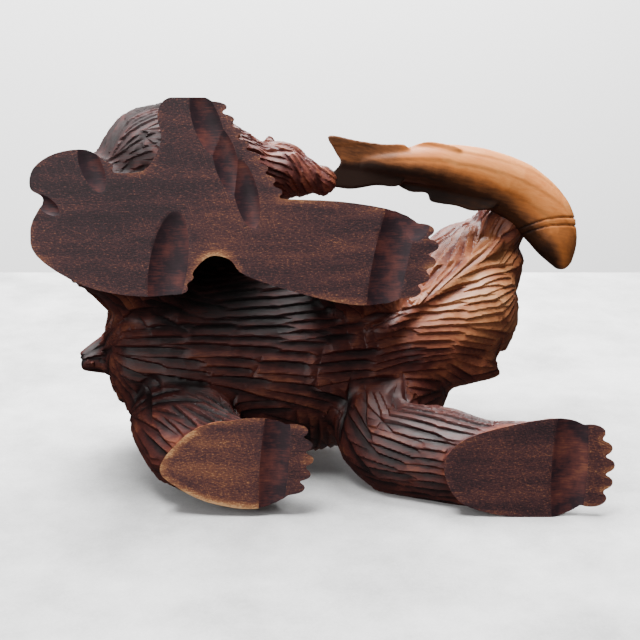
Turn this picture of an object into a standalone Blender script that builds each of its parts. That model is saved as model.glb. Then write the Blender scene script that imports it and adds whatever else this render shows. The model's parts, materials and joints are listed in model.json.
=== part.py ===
"""A carved wooden bear group: a walking bear with a salmon across her mouth, and a cub biting its tail.

All three are cut from one block of wood, so the model is one solid. The bear faces +X, her right
side and the cub are on -Y, and the flat soles stand on Z = 0.
"""

import math
import random

import bmesh
import bpy
import numpy as np
from mathutils import Matrix, Vector
from mathutils.kdtree import KDTree

# Driving sizes, in metres. The length runs from the hindmost heel to the foremost toes.
GROUP_LENGTH = 0.320
FUR_GOUGE_WIDTH = 0.0088
FUR_GOUGE_DEPTH = 0.0020
FUR_STROKE_LENGTH = 0.032

# The mesh that the form is worked out on, and the facets that the finished solid keeps.
SOFT_VOXEL = 0.0017
FIRM_VOXEL = 0.0014
SOFT_ROUNDS = 10
FIRM_ROUNDS = 2
FACETS = 8500

# The figure keeps its pose and proportions as shares of its length: 320 of these to the whole.
SHARE = GROUP_LENGTH / 320
SINK = -9  # how far the masses run below the soles before they are sawn off flat

# A mass is a row of stations (x, y, z, half length, half width, half height), swept smoothly.
TORSO = [
    (-110, 3, 82, 24, 42, 42),
    (-84, 4, 88, 32, 54, 49),
    (-45, 7, 91, 34, 61, 48),
    (-5, 9, 95, 34, 62, 48),
    (30, 5, 103, 32, 54, 50),
    (56, 0, 104, 28, 46, 45),
]
RUFF = [
    (52, 0, 98, 34, 42, 42),
    (72, -6, 98, 33, 37, 38),
    (94, -18, 100, 26, 36, 32),
]
NECK = [
    (56, -8, 104, 34, 40, 42),
    (74, -26, 108, 32, 36, 38),
    (88, -37, 114, 27, 31, 33),
]
REAR_LEFT_LEG = [
    (-84, 32, 80, 36, 28, 40),
    (-82, 44, 54, 34, 25, 32),
    (-72, 56, 30, 33, 26, 26),
    (-56, 59, 14, 31, 25, 20),
    (-52, 59, 0, 34, 24, 12),
]
REAR_RIGHT_LEG = [
    (-96, -28, 80, 34, 28, 40),
    (-112, -44, 54, 31, 24, 32),
    (-120, -56, 28, 31, 25, 24),
    (-118, -60, 12, 33, 24, 20),
]
FRONT_LEFT_LEG = [
    (48, 26, 96, 30, 30, 38),
    (32, 46, 68, 28, 27, 28),
    (40, 58, 46, 28, 28, 26),
    (64, 61, 32, 27, 30, 22),
    (90, 63, 18, 27, 27, 18),
    (112, 62, 8, 30, 27, 14),
]
FRONT_RIGHT_LEG = [
    (36, -24, 96, 28, 28, 38),
    (18, -38, 68, 25, 23, 30),
    (6, -50, 44, 23, 24, 26),
    (10, -57, 24, 26, 27, 20),
    (22, -58, 10, 32, 27, 14),
]
SHOULDER_TUFT = [
    (64, 8, 90, 24, 26, 28),
    (86, 12, 89, 17, 17, 20),
    (97, 17, 88, 10, 9, 12),
    (105, 20, 87, 4, 4, 6),
]
TAIL = [
    (-122, 5, 86, 14, 15, 16),
    (-136, 9, 80, 9, 11, 11),
    (-144, 11, 75, 5, 8, 8),
]
CUB_BODY = [
    (-115, -101, 42, 18, 25, 34),
    (-104, -109, 45, 22, 30, 38),
    (-86, -110, 48, 25, 31, 40),
    (-64, -107, 54, 22, 27, 36),
    (-48, -103, 61, 18, 21, 26),
]
CUB_REAR_LEG = [
    (-122, -96, 36, 18, 18, 26),
    (-132, -97, 18, 20, 14, 16),
    (-136, -98, 4, 22, 12, 10),
]
CUB_FRONT_LEG = [
    (-68, -112, 44, 18, 20, 26),
    (-68, -118, 22, 19, 18, 18),
    (-66, -118, 6, 22, 18, 12),
]
CUB_NECK = [
    (-50, -103, 64, 18, 20, 22),
    (-34, -101, 67, 18, 18, 18),
]
CUB_AGAINST_FLANK = [
    (-92, -70, 60, 18, 20, 24),
    (-66, -69, 66, 20, 22, 22),
    (-42, -72, 70, 16, 18, 17),
]

# The bear's head turns to her right. Its parts are placed along and across that turn.
HEAD = Vector((90, -40, 118))
HEAD_TURN = math.radians(-55)
CUB_HEAD = Vector((-27, -102, 67))
CUB_HEAD_TURN = math.radians(6)

# The salmon, from the thin of its tail past the bear's mouth to its snout.
SALMON = [
    (22, -106, 74, 8, 8.5, 6),
    (34, -106, 76, 8, 8.5, 6.5),
    (47, -105.5, 80, 10, 10.5, 8),
    (63, -105, 84, 12, 13, 9.5),
    (80, -102.5, 89, 14, 15.5, 11.5),
    (97, -98, 93, 16, 17.5, 12.5),
    (117, -89, 98, 18, 19, 13),
    (133, -75, 100, 18, 18.5, 13),
    (141, -61, 100, 14, 15, 11.5),
    (145, -50, 100, 7.5, 9, 8.5),
]
SALMON_TAIL = [
    (50, -116), (34, -118), (20, -120), (2, -123), (6, -113), (9, -107),
    (4, -101), (-2, -95), (14, -91), (30, -93), (46, -94),
]  # fmt: skip
SALMON_BACK_FIN = [
    (44, -97), (50, -89.5), (61, -88.5), (64, -83), (79, -80.5), (90, -77.5),
    (104, -81), (94, -95),
]  # fmt: skip
SALMON_BELLY_FIN = [(44, -111), (54, -118), (66, -119.5), (82, -114)]

# The sawn soles. Hind right, fore right and both of the cub's feet are left joined in one.
REAR_LEFT_SOLE = [
    (-92, 63), (-86, 52), (-72, 42), (-45, 34), (-24, 36), (-17, 46), (-14, 60),
    (-19, 76), (-39, 85), (-66, 81), (-85, 71),
]  # fmt: skip
FRONT_LEFT_SOLE = [
    (66, 62), (73, 49), (91, 41), (125, 34), (143, 37), (151, 50), (152, 64),
    (146, 80), (127, 90), (100, 89), (75, 81),
]  # fmt: skip
JOINED_SOLE = [
    (-154, -87), (-161, -93), (-159, -104), (-147, -112), (-130, -114), (-120, -107),
    (-118, -102), (-101, -102), (-94, -108), (-89, -120), (-91, -133), (-85, -142),
    (-64, -142), (-56, -130), (-49, -116), (-41, -109), (-33, -94), (-28, -88), (8, -86),
    (38, -81), (51, -74), (54, -62), (50, -46), (40, -32), (19, -29), (-8, -34),
    (-43, -45), (-52, -54), (-63, -56), (-72, -48), (-80, -36), (-104, -34), (-133, -40),
    (-158, -56), (-161, -72),
]  # fmt: skip
SOLES = (REAR_LEFT_SOLE, FRONT_LEFT_SOLE, JOINED_SOLE)
SOLE_RISE = 10
SOLE_EDGE = 4

# Each foot's toes: the middles of the row on the ground, how many, and the half width of one.
TOES = [
    ([(-18, 41), (-15, 57), (-20, 73)], 5, 4.0),
    ([(147, 42), (152.5, 60), (148, 79)], 5, 4.9),
    ([(51, -70), (53, -56), (44, -37)], 5, 4.3),
    ([(-79, -51), (-81, -44), (-84, -38)], 3, 3.4),
    ([(-62, -137), (-56, -127), (-50, -117)], 4, 3.2),
    ([(-44, -110), (-38, -101), (-32, -91)], 4, 3.4),
    ([(-136, -108), (-130, -108), (-124, -105)], 3, 3.2),
]
TOE_REACH = 9
TOE_HEIGHT = 8

# The hollows gouged in the soles: middle, turn, half width, half length and depth.
SOLE_GOUGES = [
    (-28.0, 58, 0.08, 8.0, 90, 2.4),
    (136.0, 62, 0.05, 10.0, 100, 2.6),
    (36.0, -54, 0.20, 9.5, 90, 2.8),
    (45.0, -78, -0.55, 11.0, 20, 4.0),
    (-86.0, -50, 0.16, 10.5, 52, 3.2),
    (-61.0, -127, -0.12, 7.5, 20, 3.6),
    (-54.0, -106, -0.16, 8.0, 20, 3.6),
    (-41.0, -88, -0.12, 7.0, 20, 3.6),
    (-127.0, -104, -0.50, 7.0, 15, 3.0),
    (-152.0, -83, -0.90, 5.0, 10, 2.5),
]

# How far above the soles the fur strokes reach their whole depth.
FUR_FADE = 10

# Where the fur parts from the run of the limb: on the throat it fans out from a ridge, and on
# the flank it hangs. Each row is a place, how far it holds, and the way the hair lies there.
THROAT_RIDGE = [
    (34, -10, 55, 10, 5, 5),
    (58, -26, 66, 8, 5, 5.5),
    (86, -45, 79, 8, 5, 5.5),
    (105, -59, 94, 6, 4, 5),
]
FUR_TURNS = [
    ((62, -8, 56), 26, (1, 0, 0.2)),
    ((88, -22, 66), 22, (1, -0.1, 0.3)),
    ((104, -36, 78), 20, (1, -0.3, 0.4)),
    ((92, 4, 64), 22, (1, 0.3, 0.4)),
    ((74, 24, 62), 20, (1, 0.9, 0.3)),
    ((48, -44, 58), 20, (0.2, -1, 0)),
    ((74, -58, 72), 20, (0.3, -1, 0)),
    ((-8, 52, 56), 24, (0, 1, 0.4)),
    ((-4, 62, 80), 24, (0.2, 0.4, 1)),
    ((-112, -116, 45), 26, (0.5, 0.8, 0)),
    ((-20, -104, 70), 24, (0.2, 1, 0.2)),
    ((-96, 34, 50), 30, (1, 0.1, 0.2)),
    ((-84, 60, 50), 26, (1, 0.1, 0.2)),
    ((-70, 44, 36), 24, (1, 0.1, 0.1)),
]


def share(*numbers):
    """A point or size, given in shares of the group's length, in metres."""
    return Vector(numbers) * SHARE


def clear_scene():
    for obj in list(bpy.data.objects):
        bpy.data.objects.remove(obj)


def through(stations, t):
    """The Catmull-Rom curve through the stations, at t from 0 to their number less one."""
    last = len(stations) - 1
    i = min(int(t), last - 1)
    f = t - i
    p0, p1, p2, p3 = (
        np.array(stations[min(max(k, 0), last)], float) for k in range(i - 1, i + 3)
    )
    return 0.5 * (
        2 * p1
        + (p2 - p0) * f
        + (2 * p0 - 5 * p1 + 4 * p2 - p3) * f**2
        + (3 * p1 - p0 - 3 * p2 + p3) * f**3
    )


def unit_ball():
    """The corners and faces of a ball of radius 1, which every mass is built up from."""
    bm = bmesh.new()
    bmesh.ops.create_uvsphere(bm, u_segments=20, v_segments=12, radius=1.0)
    corners = np.array([v.co[:] for v in bm.verts])
    faces = [[v.index for v in f.verts] for f in bm.faces]
    bm.free()
    return corners, faces


BALL_CORNERS, BALL_FACES = unit_ball()


class Shell:
    """Corners and faces gathered for one mesh, with the lie of the fur round each mass."""

    def __init__(self):
        self.corners = []
        self.faces = []
        self.lie = []

    def add(self, corners, faces):
        start = len(self.corners)
        self.corners.extend(tuple(c) for c in corners)
        self.faces.extend([start + i for i in face] for face in faces)

    def note(self, centre, radii, turn, hair, fur):
        """How hair lies near a place; fur is 1 on the coat and 0 on bare carving."""
        self.lie.append((*centre, *radii, turn, *hair, fur))

    def ball(self, centre, radii, turn=0.0, hair=(1, 0, 0), fur=1.0):
        """An ellipsoid, turned about the vertical."""
        x, y, z = (BALL_CORNERS * radii).T
        cos, sin = math.cos(turn), math.sin(turn)
        turned = np.column_stack((x * cos - y * sin, x * sin + y * cos, z))
        self.add((turned + np.array(centre)) * SHARE, BALL_FACES)
        self.note(centre, radii, turn, hair, fur)

    def sweep(self, stations, lean=(0, 0, 0), fur=1.0, steps=6):
        """A mass swept through its stations, with hair along it that leans as given."""
        for k in range((len(stations) - 1) * steps + 1):
            t = k / steps
            ahead = through(stations, min(t + 0.1, len(stations) - 1))
            behind = through(stations, max(t - 0.1, 0))
            run = (ahead - behind)[:3]
            hair = run / np.linalg.norm(run) + np.array(lean)
            x, y, z, a, b, c = through(stations, t)
            self.ball((x, y, z), (a, b, c), 0.0, hair, fur)

    def slab(self, outline, low, high, taper=1.0, slope=0.0):
        """An upright slab on an outline, its top drawn in towards the middle."""
        ring = np.array(outline, float)
        mid = ring.mean(axis=0)
        corners = []
        for height, grow in ((low, 1.0), (high, taper)):
            corners += [
                (x, y, height + slope * x) for x, y in mid + (ring - mid) * grow
            ]
        count = len(ring)
        sides = [
            (k, (k + 1) % count, count + (k + 1) % count, count + k)
            for k in range(count)
        ]
        ends = [list(range(count))[::-1], list(range(count, 2 * count))]
        self.add(np.array(corners) * SHARE, sides + ends)


def on_head(middle, turn, along, across, up):
    """A point on a head: along its muzzle, across to its own left, and up."""
    ahead = Vector((math.cos(turn), math.sin(turn), 0))
    left = Vector((-math.sin(turn), math.cos(turn), 0))
    return middle + ahead * along + left * across + Vector((0, 0, up))


def add_head(shell, middle, turn, balls, fur):
    hair = (math.cos(turn), math.sin(turn), 0.1)
    for along, across, up, a, b, c in balls:
        shell.ball(on_head(middle, turn, along, across, up), (a, b, c), turn, hair, fur)


def soft_masses():
    """Bodies, legs and skulls, which melt into each other."""
    shell = Shell()
    shell.sweep(TORSO, (0, 0, 0.35))
    shell.sweep(RUFF, (0, 0, 0.3))
    shell.sweep(NECK, (0, 0, 0.3))
    for leg in (REAR_LEFT_LEG, REAR_RIGHT_LEG, FRONT_LEFT_LEG, FRONT_RIGHT_LEG):
        shell.sweep(leg)
    shell.sweep(SHOULDER_TUFT)
    shell.sweep(TAIL)
    shell.sweep(THROAT_RIDGE)
    shell.sweep(CUB_BODY, (0, 0, 0.6))
    shell.sweep(CUB_REAR_LEG)
    shell.sweep(CUB_FRONT_LEG)
    shell.sweep(CUB_NECK, (0, 0.8, 0.6))
    shell.sweep(CUB_AGAINST_FLANK, (0, 0, 0.4))
    add_head(
        shell, HEAD, HEAD_TURN,
        [
            (1, 1, 0, 31, 33, 32),
            (8, 14, -7, 22, 16, 20),
            (10, -10, -8, 18, 14, 18),
            (14, 12, 14, 16, 10, 9),
            (14, -12, 14, 16, 10, 9),
            (30, 0, -1, 24, 18, 18),
            (45, 0, 0, 19, 15.5, 15),
        ],
        1.0,
    )  # fmt: skip
    add_head(
        shell, CUB_HEAD, CUB_HEAD_TURN,
        [(0, 0, 0, 20, 18.5, 18), (13, 2, -2, 15, 13, 11)],
        1.0,
    )  # fmt: skip
    for sole in SOLES:
        shell.slab(sole, SINK, SOLE_RISE, 0.94)
    return shell


def firm_shapes():
    """What keeps its edges: toes, ears, muzzles, the throat's ridge and the salmon."""
    shell = Shell()
    for sole in SOLES:
        shell.slab(sole, SINK, SOLE_EDGE)
    for row, count, half in TOES:
        for k in range(count):
            x, y = through(row, 2 * k / (count - 1))
            shell.ball((x, y, 0), (TOE_REACH, half, TOE_HEIGHT), 0.0, (1, 0, 0), 0.3)
    add_head(
        shell, HEAD, HEAD_TURN,
        [
            (54, 0, 1, 12, 13.5, 12.5),
            (60, 0, 7, 6.5, 8.5, 6.5),
            (34, 0, -17, 18, 13, 8),
            (28.5, 14, 14, 2.8, 2.8, 2.8),
            (28.5, -14, 14, 2.8, 2.8, 2.8),
        ],
        0.4,
    )  # fmt: skip
    add_head(
        shell, HEAD, HEAD_TURN,
        [(-10, 27, 27, 6, 11, 13), (-10, -27, 27, 6, 11, 13)],
        0.6,
    )  # fmt: skip
    add_head(
        shell, CUB_HEAD, CUB_HEAD_TURN,
        [
            (25, 3, 0, 11, 10, 8),
            (-8, 13, 13, 5, 7, 7),
            (-8, -13, 12, 5, 7, 7),
        ],
        0.5,
    )  # fmt: skip
    shell.sweep(SALMON, (0, 0, 0), 0.0, 8)
    shell.slab(SALMON_TAIL, 63, 70, 1.0, 0.25)
    shell.slab(SALMON_BACK_FIN, 80, 87, 0.95, 0.05)
    shell.slab(SALMON_BELLY_FIN, 76, 83, 0.9, 0.05)
    shell.note((14, -107, 70), (20, 16, 7), 0.0, (1, 0, 0), 0.0)
    for place, reach, hair in FUR_TURNS:
        shell.note(place, (reach, reach, reach), 0.0, hair, 1.0)
    return shell


def fused(name, shell, voxel, rounds):
    """One skin round everything in the shell, with its creases eased."""
    mesh = bpy.data.meshes.new(name)
    mesh.from_pydata(shell.corners, [], shell.faces)
    obj = bpy.data.objects.new(name, mesh)
    bpy.context.scene.collection.objects.link(obj)
    remesh = obj.modifiers.new("one skin", "REMESH")
    remesh.mode = "VOXEL"
    remesh.voxel_size = voxel * GROUP_LENGTH / 0.320
    ease = obj.modifiers.new("ease creases", "SMOOTH")
    ease.factor = 0.5
    ease.iterations = rounds
    graph = bpy.context.evaluated_depsgraph_get()
    skin = bpy.data.meshes.new_from_object(obj.evaluated_get(graph))
    bpy.data.objects.remove(obj)
    return skin


def whole_form():
    """The smooth form of the group before the fur is cut, and the lie of that fur."""
    masses = soft_masses()
    soft = fused("soft masses", masses, SOFT_VOXEL, SOFT_ROUNDS)
    shell = firm_shapes()
    shell.add(
        [v.co[:] for v in soft.vertices], [list(p.vertices) for p in soft.polygons]
    )
    form = fused("whole form", shell, FIRM_VOXEL, FIRM_ROUNDS)
    return form, np.array(masses.lie + shell.lie)


def lie_of_fur(points, lie):
    """The way the hair lies at each point, and how much of it there is, from the masses near."""
    if len(points) > 20000:
        halves = np.array_split(points, 2)
        ways, furs = zip(*(lie_of_fur(half, lie) for half in halves))
        return np.vstack(ways), np.concatenate(furs)
    nearness = np.empty((len(lie), len(points)))
    for k, row in enumerate(lie):
        x, y, z = (points / SHARE - row[:3]).T
        cos, sin = math.cos(row[6]), math.sin(row[6])
        away = np.array([x * cos + y * sin, y * cos - x * sin, z]) / row[3:6, None]
        nearness[k] = np.sqrt((away**2).sum(axis=0))
    weight = np.exp(-9.0 * (nearness - nearness.min(axis=0)))
    nearest = lie[nearness.argmin(axis=0), 7:10]
    side = np.where(lie[:, 7:10] @ nearest.T < 0, -1.0, 1.0)
    hair = np.einsum("kn,kd->nd", weight * side, lie[:, 7:10])
    fur = (weight * lie[:, 10, None]).sum(axis=0) / weight.sum(axis=0)
    return hair / np.linalg.norm(hair, axis=1, keepdims=True), fur


def fur_strokes(points, normals, lie, width, length, seed):
    """Gouge strokes spread over the coat, each side by side with its neighbours."""
    rng = random.Random(seed)
    tries = rng.sample(range(len(points)), min(len(points), 16000))
    hair, fur = lie_of_fur(points[tries], lie)
    strokes = []
    middles = np.empty((0, 3))
    for try_index, run, much in zip(tries, hair, fur):
        place = points[try_index]
        normal = normals[try_index]
        run = run - normal * run.dot(normal)
        if much < 0.25 or np.linalg.norm(run) < 0.15:
            continue
        run = run / np.linalg.norm(run)
        gap = middles - place
        along = gap @ run / (0.62 * length)
        across = np.linalg.norm(gap - np.outer(gap @ run, run), axis=1) / (0.62 * width)
        if len(middles) and (along**2 + across**2).min() < 1:
            continue
        middles = np.vstack((middles, place))
        strokes.append((place, run, normal, much * rng.uniform(0.75, 1.15)))
    return strokes


def carve_fur(mesh, lie, width, length, depth, seed=7):
    """Sink every corner of the mesh by the deepest gouge stroke over it."""
    count = len(mesh.vertices)
    points = np.empty(count * 3)
    normals = np.empty(count * 3)
    mesh.vertices.foreach_get("co", points)
    mesh.vertices.foreach_get("normal", normals)
    points = points.reshape(-1, 3)
    normals = normals.reshape(-1, 3)
    tree = KDTree(count)
    for k, p in enumerate(points):
        tree.insert(p, k)
    tree.balance()
    sink = np.zeros(count)
    for place, run, normal, much in fur_strokes(
        points, normals, lie, width, length, seed
    ):
        near = np.array([hit[1] for hit in tree.find_range(place, 0.75 * length)])
        away = points[near] - place
        along = (away @ run) / (0.72 * length)
        across = (away @ np.cross(normal, run)) / (0.85 * width)
        facing = normals[near] @ normal > 0.2
        side = np.where(across < 0.35, (0.35 - across) / 1.35, (across - 0.35) / 0.65)
        bowl = np.clip(1 - side**1.6, 0, 1) * np.clip(1 - along**4, 0, 1)
        sink[near] = np.maximum(sink[near], depth * much * bowl * facing)
    sink *= np.clip(2.5 * lie_of_fur(points, lie)[1] - 0.5, 0, 1)
    sink *= np.clip(points[:, 2] / SHARE / FUR_FADE, 0, 1)
    points -= normals * sink[:, None]
    mesh.vertices.foreach_set("co", points.ravel())


def cut_soles(obj):
    """Saw the feet off flat, and gouge the hollows behind the toes and under the arches."""
    cutters = bpy.data.collections.new("cutters")
    bpy.context.scene.collection.children.link(cutters)
    tools = []
    saw = bpy.data.meshes.new("saw cut")
    bm = bmesh.new()
    bmesh.ops.create_cube(bm, size=1.0)
    for corner in bm.verts:
        corner.co = share(corner.co.x * 400, corner.co.y * 400, corner.co.z * 60 - 30)
    bm.to_mesh(saw)
    bm.free()
    tools.append(saw)
    for k, (x, y, turn, half_width, half_length, depth) in enumerate(SOLE_GOUGES):
        shell = Shell()
        radius = (half_width**2 + depth**2) / (2 * depth)
        shell.ball((x, y, depth - radius), (radius, half_length, radius), turn)
        mesh = bpy.data.meshes.new(f"sole gouge {k}")
        mesh.from_pydata(shell.corners, [], shell.faces)
        tools.append(mesh)
    for mesh in tools:
        cutter = bpy.data.objects.new(mesh.name, mesh)
        cutter.hide_render = True
        cutter.display_type = "WIRE"
        cutters.objects.link(cutter)
    cut = obj.modifiers.new("soles", "BOOLEAN")
    cut.operation = "DIFFERENCE"
    cut.solver = "EXACT"
    cut.operand_type = "COLLECTION"
    cut.collection = cutters


def stand_on_origin(mesh):
    """Put the origin on the soles' plane, under the middle of the group."""
    corners = np.array([v.co[:] for v in mesh.vertices])
    middle = (corners.min(axis=0) + corners.max(axis=0)) / 2
    mesh.transform(Matrix.Translation((-middle[0], -middle[1], 0)))


def wood():
    material = bpy.data.materials.new("carved_wood")
    material.use_nodes = True
    shader = material.node_tree.nodes["Principled BSDF"]
    shader.inputs["Base Color"].default_value = (0.085, 0.030, 0.018, 1.0)
    shader.inputs["Roughness"].default_value = 0.42
    return material


def main():
    clear_scene()
    form, lie = whole_form()
    scale = GROUP_LENGTH / 0.320
    carve_fur(
        form,
        lie,
        FUR_GOUGE_WIDTH * scale,
        FUR_STROKE_LENGTH * scale,
        FUR_GOUGE_DEPTH * scale,
    )
    form.materials.clear()
    form.materials.append(wood())
    obj = bpy.data.objects.new("carved_bear_group", form)
    parts = bpy.data.collections.new("carved_bear_group")
    bpy.context.scene.collection.children.link(parts)
    parts.objects.link(obj)
    triangles = sum(len(face.vertices) - 2 for face in form.polygons)
    facets = obj.modifiers.new("facets", "DECIMATE")
    facets.ratio = FACETS / triangles
    facets.use_collapse_triangulate = True
    cut_soles(obj)
    graph = bpy.context.evaluated_depsgraph_get()
    obj.data = bpy.data.meshes.new_from_object(obj.evaluated_get(graph))
    obj.modifiers.clear()
    stand_on_origin(obj.data)


main()
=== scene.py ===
"""The looks of a carved wooden bear group: a walking bear with a salmon, and a cub at its tail.

The group lies on its left side before a pale wall, as it was photographed, with its sawn soles
towards the camera. In the CAD frame, which everything here is made in, it stands on those soles.
"""

import json
import math
import random

import bmesh
import bpy
import numpy as np
from mathutils import Matrix, Vector
from mathutils.kdtree import KDTree

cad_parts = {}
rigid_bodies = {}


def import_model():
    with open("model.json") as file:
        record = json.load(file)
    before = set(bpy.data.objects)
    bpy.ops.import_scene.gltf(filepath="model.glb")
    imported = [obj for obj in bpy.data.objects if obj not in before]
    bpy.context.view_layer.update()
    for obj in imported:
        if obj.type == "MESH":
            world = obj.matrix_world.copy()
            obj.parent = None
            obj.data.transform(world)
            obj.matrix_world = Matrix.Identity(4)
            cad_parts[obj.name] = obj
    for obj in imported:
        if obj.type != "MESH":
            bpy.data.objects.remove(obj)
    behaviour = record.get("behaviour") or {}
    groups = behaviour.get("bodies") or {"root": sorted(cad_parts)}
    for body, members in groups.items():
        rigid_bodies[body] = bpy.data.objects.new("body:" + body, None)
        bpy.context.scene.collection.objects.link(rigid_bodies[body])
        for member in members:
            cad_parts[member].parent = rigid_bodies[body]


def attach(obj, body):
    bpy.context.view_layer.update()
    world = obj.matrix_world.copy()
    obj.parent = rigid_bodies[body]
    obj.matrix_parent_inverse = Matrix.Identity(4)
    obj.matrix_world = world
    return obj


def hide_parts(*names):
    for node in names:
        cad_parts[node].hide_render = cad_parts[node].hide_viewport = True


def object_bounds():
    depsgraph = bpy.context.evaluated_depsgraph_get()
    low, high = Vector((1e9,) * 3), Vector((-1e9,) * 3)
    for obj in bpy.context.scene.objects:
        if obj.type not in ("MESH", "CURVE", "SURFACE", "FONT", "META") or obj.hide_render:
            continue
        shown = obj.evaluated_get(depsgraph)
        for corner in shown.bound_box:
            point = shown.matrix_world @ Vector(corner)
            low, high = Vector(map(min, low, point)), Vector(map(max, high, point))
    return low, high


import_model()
cad_low, cad_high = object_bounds()

# The block. Bear, salmon and cub are cut from one block of soft, even wood, with the saw, the
# axe and the gouge. Body and legs are roughed out as full rounded masses that run together.

MM = 0.001

# A mass is a row of stations (x, y, z, half length, half width, half height), swept smoothly.
TORSO = [
    (-110, 3, 82, 24, 42, 42),
    (-84, 4, 88, 32, 54, 49),
    (-45, 7, 91, 34, 61, 48),
    (-5, 9, 95, 34, 62, 48),
    (30, 5, 103, 32, 54, 50),
    (56, 0, 104, 28, 46, 45),
]
RUFF = [
    (52, 0, 98, 34, 42, 42),
    (72, -6, 98, 33, 37, 38),
    (94, -18, 100, 26, 36, 32),
]
NECK = [
    (56, -8, 104, 34, 40, 42),
    (74, -26, 108, 32, 36, 38),
    (88, -37, 114, 27, 31, 33),
]
REAR_LEFT_LEG = [
    (-84, 32, 80, 36, 28, 40),
    (-82, 44, 54, 34, 25, 32),
    (-72, 56, 30, 33, 26, 26),
    (-56, 59, 14, 31, 25, 20),
    (-52, 59, 0, 34, 24, 12),
]
REAR_RIGHT_LEG = [
    (-96, -28, 80, 34, 28, 40),
    (-112, -44, 54, 31, 24, 32),
    (-120, -56, 28, 31, 25, 24),
    (-118, -60, 12, 33, 24, 20),
]
FRONT_LEFT_LEG = [
    (48, 26, 96, 30, 30, 38),
    (32, 46, 68, 28, 27, 28),
    (40, 58, 46, 28, 28, 26),
    (64, 61, 32, 27, 30, 22),
    (90, 63, 18, 27, 27, 18),
    (112, 62, 8, 30, 27, 14),
]
FRONT_RIGHT_LEG = [
    (36, -24, 96, 28, 28, 38),
    (18, -38, 68, 25, 23, 30),
    (6, -50, 44, 23, 24, 26),
    (10, -57, 24, 26, 27, 20),
    (22, -58, 10, 32, 27, 14),
]
SHOULDER_TUFT = [
    (64, 8, 90, 24, 26, 28),
    (86, 12, 89, 17, 17, 20),
    (97, 17, 88, 10, 9, 12),
    (105, 20, 87, 4, 4, 6),
]
THROAT_RIDGE = [
    (34, -10, 55, 10, 5, 5),
    (58, -26, 66, 8, 5, 5.5),
    (86, -45, 79, 8, 5, 5.5),
    (105, -59, 94, 6, 4, 5),
]
TAIL = [
    (-122, 5, 86, 14, 15, 16),
    (-136, 9, 80, 9, 11, 11),
    (-144, 11, 75, 5, 8, 8),
]


def through(stations, t):
    """The Catmull-Rom curve through the stations, at t from 0 to their number less one."""
    last = len(stations) - 1
    i = min(int(t), last - 1)
    f = t - i
    p0, p1, p2, p3 = (
        np.array(stations[min(max(k, 0), last)], float) for k in range(i - 1, i + 3)
    )
    return 0.5 * (
        2 * p1
        + (p2 - p0) * f
        + (2 * p0 - 5 * p1 + 4 * p2 - p3) * f**2
        + (3 * p1 - p0 - 3 * p2 + p3) * f**3
    )


def unit_ball(segments, rings):
    """The corners and faces of a ball of radius 1."""
    bm = bmesh.new()
    bmesh.ops.create_uvsphere(bm, u_segments=segments, v_segments=rings, radius=1.0)
    corners = np.array([v.co[:] for v in bm.verts])
    faces = [[v.index for v in f.verts] for f in bm.faces]
    bm.free()
    return corners, faces


MASS_BALL = unit_ball(24, 14)


class Shell:
    """Corners and faces for one mesh in metres, with the lie of the fur round each mass."""

    def __init__(self):
        self.corners = []
        self.faces = []
        self.lie = []

    def add(self, corners, faces):
        start = len(self.corners)
        self.corners.extend(tuple(c) for c in corners)
        self.faces.extend([start + i for i in face] for face in faces)

    def note(self, centre, radii, turn, hair, fur, way=None):
        """How hair lies near a place; fur is 1 on the coat and 0 on bare carving.

        way is how far along the hair the place lies, which lines the strokes up in courses.
        """
        if way is None:
            way = np.dot(centre, hair) / np.linalg.norm(hair)
        self.lie.append((*centre, *radii, turn, *hair, fur, way))

    def ball(
        self, centre, radii, turn=0.0, hair=(1, 0, 0), fur=1.0, way=None, shape=MASS_BALL
    ):
        """An ellipsoid, turned about the vertical."""
        x, y, z = (shape[0] * radii).T
        cos, sin = math.cos(turn), math.sin(turn)
        turned = np.column_stack((x * cos - y * sin, x * sin + y * cos, z))
        self.add((turned + np.array(centre)) * MM, shape[1])
        self.note(centre, radii, turn, hair, fur, way)

    def sweep(self, stations, lean=(0, 0, 0), fur=1.0, steps=7):
        """A mass swept through its stations, with hair along it that leans as given."""
        way = 0.0
        last_place = np.array(stations[0][:3], float)
        for k in range((len(stations) - 1) * steps + 1):
            t = k / steps
            ahead = through(stations, min(t + 0.1, len(stations) - 1))
            behind = through(stations, max(t - 0.1, 0))
            run = (ahead - behind)[:3]
            hair = run / np.linalg.norm(run) + np.array(lean)
            x, y, z, a, b, c = through(stations, t)
            place = np.array((x, y, z))
            way += (place - last_place) @ hair / np.linalg.norm(hair)
            last_place = place
            self.ball(place, (a, b, c), 0.0, hair, fur, way)

    def slab(self, outline, low, high, taper=1.0, slope=0.0):
        """An upright slab on an outline, its top drawn in towards the middle."""
        around = [*outline[-2:], *outline, *outline[:2]]
        steps = range(4 * len(outline))
        ring = np.array([through(around, 2 + k / 4) for k in steps], float)
        mid = ring.mean(axis=0)
        corners = []
        for height, grow in ((low, 1.0), (high, taper)):
            corners += [
                (x, y, height + slope * x) for x, y in mid + (ring - mid) * grow
            ]
        count = len(ring)
        sides = [
            (k, (k + 1) % count, count + (k + 1) % count, count + k)
            for k in range(count)
        ]
        ends = [list(range(count))[::-1], list(range(count, 2 * count))]
        self.add(np.array(corners) * MM, sides + ends)

    def mesh(self, name):
        made = bpy.data.meshes.new(name)
        made.from_pydata(self.corners, [], self.faces)
        return made


def shown(name, mesh):
    """An object in the scene for a mesh, at the origin."""
    obj = bpy.data.objects.new(name, mesh)
    bpy.context.scene.collection.objects.link(obj)
    return obj


def baked(obj):
    """The object's mesh with its modifiers worked in; the object itself is removed."""
    graph = bpy.context.evaluated_depsgraph_get()
    mesh = bpy.data.meshes.new_from_object(obj.evaluated_get(graph))
    bpy.data.objects.remove(obj)
    return mesh


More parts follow.
